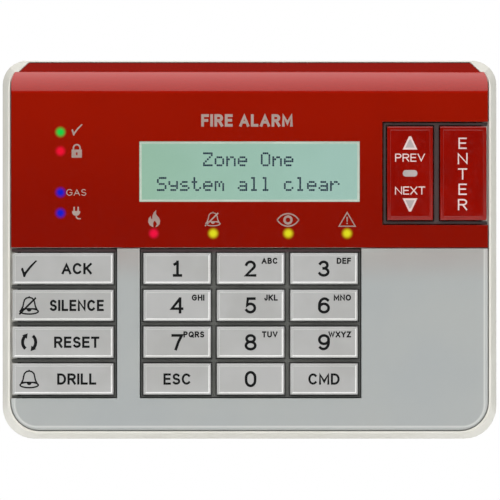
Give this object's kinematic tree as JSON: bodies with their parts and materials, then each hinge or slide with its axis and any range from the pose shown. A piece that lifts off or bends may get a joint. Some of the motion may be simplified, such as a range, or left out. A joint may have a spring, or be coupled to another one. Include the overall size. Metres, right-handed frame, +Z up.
{
  "type": "fire alarm control panel",
  "caption": "Wall-mounted fire alarm keypad panel: drafted white housing, red and grey fascias, text display, press keys, arrow rocker and status lamps on a screw-on base.",
  "frame": {"origin": "middle of the flat wall face of the rear base", "axes": "+X to the right as seen from the front, +Z up, +Y into the wall; the front faces -Y"},
  "size_m": [0.158, 0.026, 0.1211],
  "materials": {
    "housing_white": "fine satin moulded ABS, warm white",
    "fascia_red": "high gloss deep red",
    "fascia_grey": "gloss light grey",
    "key_grey": "semi gloss light grey, printed black",
    "key_red": "semi gloss deep red, printed pale",
    "frame_dark": "matt dark olive grey",
    "window_clear": "clear polished acrylic",
    "display_green": "grey green liquid crystal glass",
    "light_guide": "milky acrylic",
    "rubber_grey": "matt silicone",
    "board_green": "solder resist over copper tracks",
    "steel_plated": "bright zinc plate",
    "terminal_green": "moulded nylon",
    "plastic_black": "matt black",
    "switch_blue": "moulded blue",
    "led_green_glow": "lit lamp",
    "led_red_glow": "lit lamp",
    "led_blue_glow": "lit lamp",
    "led_yellow_glow": "lit lamp"
  },
  "bodies": {
    "base": {"rear_base": "housing_white"},
    "locking_tab": {"locking_tab": "housing_white"},
    "front": {"front_housing": "housing_white", "upper_fascia": "fascia_red", "lower_fascia": "fascia_grey", "number_key_frame": "frame_dark", "function_key_frame": "frame_dark", "arrow_key_frame": "frame_dark", "keypad_mat": "rubber_grey", "display_window": "window_clear", "display_bezel": "steel_plated", "display_glass": "display_green", "display_backlight": "light_guide", "display_contact_strip": "rubber_grey", "led_normal": "led_green_glow", "led_security": "led_red_glow", "led_gas": "led_blue_glow", "led_power": "led_blue_glow", "led_fire": "led_red_glow", "led_silenced": "led_yellow_glow", "led_supervisory": "led_yellow_glow", "led_trouble": "led_yellow_glow", "column_light_guide": "light_guide", "row_light_guide": "light_guide", "main_board": "board_green", "board_screw_1": "steel_plated", "board_screw_2": "steel_plated", "board_screw_3": "steel_plated", "board_screw_4": "steel_plated", "sounder": "plastic_black", "terminal_block": "terminal_green", "terminal_screw_1": "steel_plated", "terminal_screw_2": "steel_plated", "terminal_screw_3": "steel_plated", "terminal_screw_4": "steel_plated", "plug_header": "plastic_black", "address_switch_tens": "switch_blue", "address_switch_ones": "switch_blue", "tamper_switch": "plastic_black"},
    "key_1": {"key_1": "key_grey"},
    "key_2": {"key_2": "key_grey"},
    "key_3": {"key_3": "key_grey"},
    "key_4": {"key_4": "key_grey"},
    "key_5": {"key_5": "key_grey"},
    "key_6": {"key_6": "key_grey"},
    "key_7": {"key_7": "key_grey"},
    "key_8": {"key_8": "key_grey"},
    "key_9": {"key_9": "key_grey"},
    "key_escape": {"key_escape": "key_grey"},
    "key_0": {"key_0": "key_grey"},
    "key_command": {"key_command": "key_grey"},
    "key_acknowledge": {"key_acknowledge": "key_grey"},
    "key_silence": {"key_silence": "key_grey"},
    "key_reset": {"key_reset": "key_grey"},
    "key_drill": {"key_drill": "key_grey"},
    "key_enter": {"key_enter": "key_red"},
    "key_previous_next": {"key_previous_next": "key_red"},
    "address_dial_tens": {"address_dial_tens": "light_guide"},
    "address_dial_ones": {"address_dial_ones": "light_guide"},
    "tamper_plunger": {"tamper_plunger": "light_guide"}
  },
  "joints": [
    {"name": "front_swing", "type": "hinge", "parent": "base", "child": "front", "pos_m": [0, -0.0009, 0.0602], "axis": [-1, 0, 0], "range_deg": [0, 30]},
    {"name": "locking_tab_flex", "type": "hinge", "parent": "base", "child": "locking_tab", "pos_m": [0, -0.0037, -0.046], "axis": [1, 0, 0], "range_deg": [0, 3.5], "stiffness_Nm_per_rad": 0.6},
    {"name": "key_1_press", "type": "slide", "parent": "front", "child": "key_1", "axis": [0, 1, 0], "range_m": [0, 0.001], "stiffness_N_per_m": 900},
    {"name": "key_2_press", "type": "slide", "parent": "front", "child": "key_2", "axis": [0, 1, 0], "range_m": [0, 0.001], "stiffness_N_per_m": 900},
    {"name": "key_3_press", "type": "slide", "parent": "front", "child": "key_3", "axis": [0, 1, 0], "range_m": [0, 0.001], "stiffness_N_per_m": 900},
    {"name": "key_4_press", "type": "slide", "parent": "front", "child": "key_4", "axis": [0, 1, 0], "range_m": [0, 0.001], "stiffness_N_per_m": 900},
    {"name": "key_5_press", "type": "slide", "parent": "front", "child": "key_5", "axis": [0, 1, 0], "range_m": [0, 0.001], "stiffness_N_per_m": 900},
    {"name": "key_6_press", "type": "slide", "parent": "front", "child": "key_6", "axis": [0, 1, 0], "range_m": [0, 0.001], "stiffness_N_per_m": 900},
    {"name": "key_7_press", "type": "slide", "parent": "front", "child": "key_7", "axis": [0, 1, 0], "range_m": [0, 0.001], "stiffness_N_per_m": 900},
    {"name": "key_8_press", "type": "slide", "parent": "front", "child": "key_8", "axis": [0, 1, 0], "range_m": [0, 0.001], "stiffness_N_per_m": 900},
    {"name": "key_9_press", "type": "slide", "parent": "front", "child": "key_9", "axis": [0, 1, 0], "range_m": [0, 0.001], "stiffness_N_per_m": 900},
    {"name": "key_escape_press", "type": "slide", "parent": "front", "child": "key_escape", "axis": [0, 1, 0], "range_m": [0, 0.001], "stiffness_N_per_m": 900},
    {"name": "key_0_press", "type": "slide", "parent": "front", "child": "key_0", "axis": [0, 1, 0], "range_m": [0, 0.001], "stiffness_N_per_m": 900},
    {"name": "key_command_press", "type": "slide", "parent": "front", "child": "key_command", "axis": [0, 1, 0], "range_m": [0, 0.001], "stiffness_N_per_m": 900},
    {"name": "key_acknowledge_press", "type": "slide", "parent": "front", "child": "key_acknowledge", "axis": [0, 1, 0], "range_m": [0, 0.001], "stiffness_N_per_m": 900},
    {"name": "key_silence_press", "type": "slide", "parent": "front", "child": "key_silence", "axis": [0, 1, 0], "range_m": [0, 0.001], "stiffness_N_per_m": 900},
    {"name": "key_reset_press", "type": "slide", "parent": "front", "child": "key_reset", "axis": [0, 1, 0], "range_m": [0, 0.001], "stiffness_N_per_m": 900},
    {"name": "key_drill_press", "type": "slide", "parent": "front", "child": "key_drill", "axis": [0, 1, 0], "range_m": [0, 0.001], "stiffness_N_per_m": 900},
    {"name": "key_enter_press", "type": "slide", "parent": "front", "child": "key_enter", "axis": [0, 1, 0], "range_m": [0, 0.001], "stiffness_N_per_m": 900},
    {"name": "key_previous_next_rock", "type": "hinge", "parent": "front", "child": "key_previous_next", "pos_m": [0.05145, -0.0199, 0.0243], "axis": [1, 0, 0], "range_deg": [-2.5, 2.5], "stiffness_Nm_per_rad": 0.12},
    {"name": "address_dial_tens_turn", "type": "hinge", "parent": "front", "child": "address_dial_tens", "pos_m": [-0.04, -0.0088, 0.008], "axis": [0, 1, 0], "continuous": true},
    {"name": "address_dial_ones_turn", "type": "hinge", "parent": "front", "child": "address_dial_ones", "pos_m": [-0.025, -0.0088, 0.008], "axis": [0, 1, 0], "continuous": true},
    {"name": "tamper_plunger_press", "type": "slide", "parent": "front", "child": "tamper_plunger", "axis": [0, -1, 0], "range_m": [0, 0.0012], "stiffness_N_per_m": 300}
  ]
}
